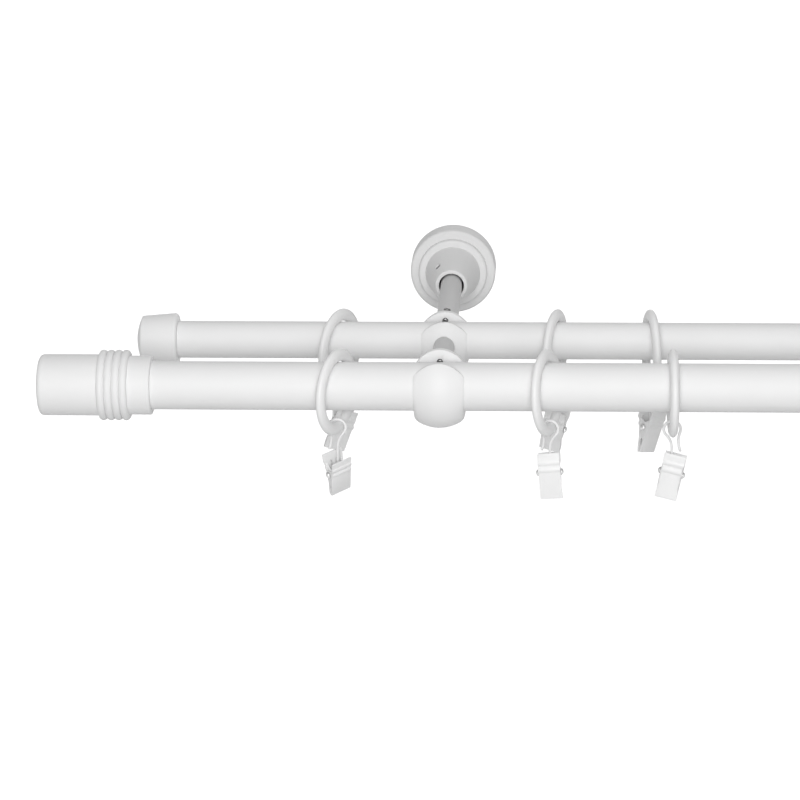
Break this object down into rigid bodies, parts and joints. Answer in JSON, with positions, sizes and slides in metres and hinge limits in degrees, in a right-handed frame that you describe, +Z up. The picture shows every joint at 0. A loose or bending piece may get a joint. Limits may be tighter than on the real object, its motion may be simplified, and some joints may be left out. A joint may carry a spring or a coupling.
{
  "type": "double curtain pole",
  "caption": "Parallel front and rear curtain poles on wall brackets, with beaded finials, flared end caps and sliding rings that carry sprung clips on wire hooks.",
  "frame": {"origin": "centre of the left bracket's wall plate on the wall face", "axes": "+X along the poles to the right, +Y into the wall, +Z up"},
  "size_m": [0.8112, 0.255, 0.0881],
  "materials": {
    "pole_paint": "satin white paint on steel tube",
    "finial_paint": "satin white paint",
    "cap_plastic": "satin white moulding",
    "cup_paint": "satin white paint on die casting",
    "rosette_paint": "satin white paint on die casting",
    "stem_paint": "satin white paint on steel tube",
    "screw_steel": "zinc plated",
    "plate_zinc": "zinc plated",
    "ring_plastic": "satin white moulding",
    "wire_paint": "white coated spring wire",
    "clip_paint": "white coated pressed sheet",
    "pin_steel": "plated"
  },
  "bodies": {
    "pole_frame": {"wall_plate_left": "plate_zinc", "rosette_left": "rosette_paint", "rosette_screw_left": "screw_steel", "stem_left": "stem_paint", "stem_screw_left": "screw_steel", "rear_cup_left": "cup_paint", "rear_lock_screw_left": "screw_steel", "link_rod_left": "stem_paint", "link_screw_left": "screw_steel", "front_cup_left": "cup_paint", "front_lock_screw_left": "screw_steel", "finial_left": "finial_paint", "end_cap_left": "cap_plastic", "wall_plate_right": "plate_zinc", "rosette_right": "rosette_paint", "rosette_screw_right": "screw_steel", "stem_right": "stem_paint", "stem_screw_right": "screw_steel", "rear_cup_right": "cup_paint", "rear_lock_screw_right": "screw_steel", "link_rod_right": "stem_paint", "link_screw_right": "screw_steel", "front_cup_right": "cup_paint", "front_lock_screw_right": "screw_steel", "finial_right": "finial_paint", "end_cap_right": "cap_plastic", "front_pole": "pole_paint", "rear_pole": "pole_paint"},
    "ring_body_front_1": {"ring_front_1": "ring_plastic"},
    "clip_body_front_1": {"hook_front_1": "wire_paint", "clip_pin_front_1": "pin_steel", "clip_back_jaw_front_1": "clip_paint"},
    "jaw_body_front_1": {"clip_front_jaw_front_1": "clip_paint"},
    "ring_body_front_2": {"ring_front_2": "ring_plastic"},
    "clip_body_front_2": {"hook_front_2": "wire_paint", "clip_pin_front_2": "pin_steel", "clip_front_jaw_front_2": "clip_paint"},
    "jaw_body_front_2": {"clip_back_jaw_front_2": "clip_paint"},
    "ring_body_front_3": {"ring_front_3": "ring_plastic"},
    "clip_body_front_3": {"hook_front_3": "wire_paint", "clip_pin_front_3": "pin_steel", "clip_front_jaw_front_3": "clip_paint"},
    "jaw_body_front_3": {"clip_back_jaw_front_3": "clip_paint"},
    "ring_body_rear_1": {"ring_rear_1": "ring_plastic"},
    "clip_body_rear_1": {"hook_rear_1": "wire_paint", "clip_pin_rear_1": "pin_steel", "clip_front_jaw_rear_1": "clip_paint"},
    "jaw_body_rear_1": {"clip_back_jaw_rear_1": "clip_paint"},
    "ring_body_rear_2": {"ring_rear_2": "ring_plastic"},
    "clip_body_rear_2": {"hook_rear_2": "wire_paint", "clip_pin_rear_2": "pin_steel", "clip_front_jaw_rear_2": "clip_paint"},
    "jaw_body_rear_2": {"clip_back_jaw_rear_2": "clip_paint"},
    "ring_body_rear_3": {"ring_rear_3": "ring_plastic"},
    "clip_body_rear_3": {"hook_rear_3": "wire_paint", "clip_pin_rear_3": "pin_steel", "clip_front_jaw_rear_3": "clip_paint"},
    "jaw_body_rear_3": {"clip_back_jaw_rear_3": "clip_paint"}
  },
  "joints": [
    {"name": "ring_slide_front_1", "type": "slide", "parent": "pole_frame", "child": "ring_body_front_1", "axis": [1, 0, 0], "range_m": [-0.076, 0.0265]},
    {"name": "hook_swing_front_1", "type": "hinge", "parent": "ring_body_front_1", "child": "clip_body_front_1", "pos_m": [-0.05274, -0.23245, -0.0223], "axis": [0.3665, 0.9304, 0], "range_deg": [-18, 18]},
    {"name": "clip_jaw_front_1", "type": "hinge", "parent": "clip_body_front_1", "child": "jaw_body_front_1", "pos_m": [-0.0526, -0.2325, -0.0459], "axis": [-0.8229, -0.5142, -0.2419], "range_deg": [0, 18], "stiffness_Nm_per_rad": 0.02, "springref_deg": -20.05},
    {"name": "ring_slide_front_2", "type": "slide", "parent": "pole_frame", "child": "ring_body_front_2", "axis": [1, 0, 0], "range_m": [-0.0285, 0.0115]},
    {"name": "hook_swing_front_2", "type": "hinge", "parent": "ring_body_front_2", "child": "clip_body_front_2", "pos_m": [0.05689, -0.23302, -0.02223], "axis": [0.2924, 0.9563, 0], "range_deg": [-18, 18]},
    {"name": "clip_jaw_front_2", "type": "hinge", "parent": "clip_body_front_2", "child": "jaw_body_front_2", "pos_m": [0.0568, -0.23299, -0.04583], "axis": [0.9948, -0.0521, 0.0872], "range_deg": [0, 18], "stiffness_Nm_per_rad": 0.02, "springref_deg": -20.05},
    {"name": "ring_slide_front_3", "type": "slide", "parent": "pole_frame", "child": "ring_body_front_3", "axis": [1, 0, 0], "range_m": [-0.0075, 0.24]},
    {"name": "hook_swing_front_3", "type": "hinge", "parent": "ring_body_front_3", "child": "clip_body_front_3", "pos_m": [0.11911, -0.2325, -0.0223], "axis": [-0.0175, 0.9998, 0], "range_deg": [-18, 18]},
    {"name": "clip_jaw_front_3", "type": "hinge", "parent": "clip_body_front_3", "child": "jaw_body_front_3", "pos_m": [0.1193, -0.2325, -0.0459], "axis": [0.9679, -0.1533, -0.1994], "range_deg": [0, 18], "stiffness_Nm_per_rad": 0.02, "springref_deg": -20.05},
    {"name": "ring_slide_rear_1", "type": "slide", "parent": "pole_frame", "child": "ring_body_rear_1", "axis": [1, 0, 0], "range_m": [-0.075, 0.028]},
    {"name": "hook_swing_rear_1", "type": "hinge", "parent": "ring_body_rear_1", "child": "clip_body_rear_1", "pos_m": [-0.05678, -0.15092, -0.0248], "axis": [0.4067, 0.9135, 0], "range_deg": [-18, 18]},
    {"name": "clip_jaw_rear_1", "type": "hinge", "parent": "clip_body_rear_1", "child": "jaw_body_rear_1", "pos_m": [-0.0566, -0.151, -0.0484], "axis": [0.9186, 0.2462, -0.309], "range_deg": [0, 18], "stiffness_Nm_per_rad": 0.02, "springref_deg": -20.05},
    {"name": "ring_slide_rear_2", "type": "slide", "parent": "pole_frame", "child": "ring_body_rear_2", "axis": [1, 0, 0], "range_m": [-0.034, 0.003]},
    {"name": "hook_swing_rear_2", "type": "hinge", "parent": "ring_body_rear_2", "child": "clip_body_rear_2", "pos_m": [0.05904, -0.15096, -0.0248], "axis": [0.2419, 0.9703, 0], "range_deg": [-18, 18]},
    {"name": "clip_jaw_rear_2", "type": "hinge", "parent": "clip_body_rear_2", "child": "jaw_body_rear_2", "pos_m": [0.0592, -0.151, -0.0484], "axis": [0.9303, -0.3023, -0.2079], "range_deg": [0, 18], "stiffness_Nm_per_rad": 0.02, "springref_deg": -20.05},
    {"name": "ring_slide_rear_3", "type": "slide", "parent": "pole_frame", "child": "ring_body_rear_3", "axis": [1, 0, 0], "range_m": [-0.003, 0.25]},
    {"name": "hook_swing_rear_3", "type": "hinge", "parent": "ring_body_rear_3", "child": "clip_body_rear_3", "pos_m": [0.11067, -0.15102, -0.0248], "axis": [-0.1305, 0.9914, 0], "range_deg": [-18, 18]},
    {"name": "clip_jaw_rear_3", "type": "hinge", "parent": "clip_body_rear_3", "child": "jaw_body_rear_3", "pos_m": [0.1108, -0.151, -0.0484], "axis": [0.689, 0.689, -0.225], "range_deg": [0, 18], "stiffness_Nm_per_rad": 0.02, "springref_deg": -20.05}
  ]
}
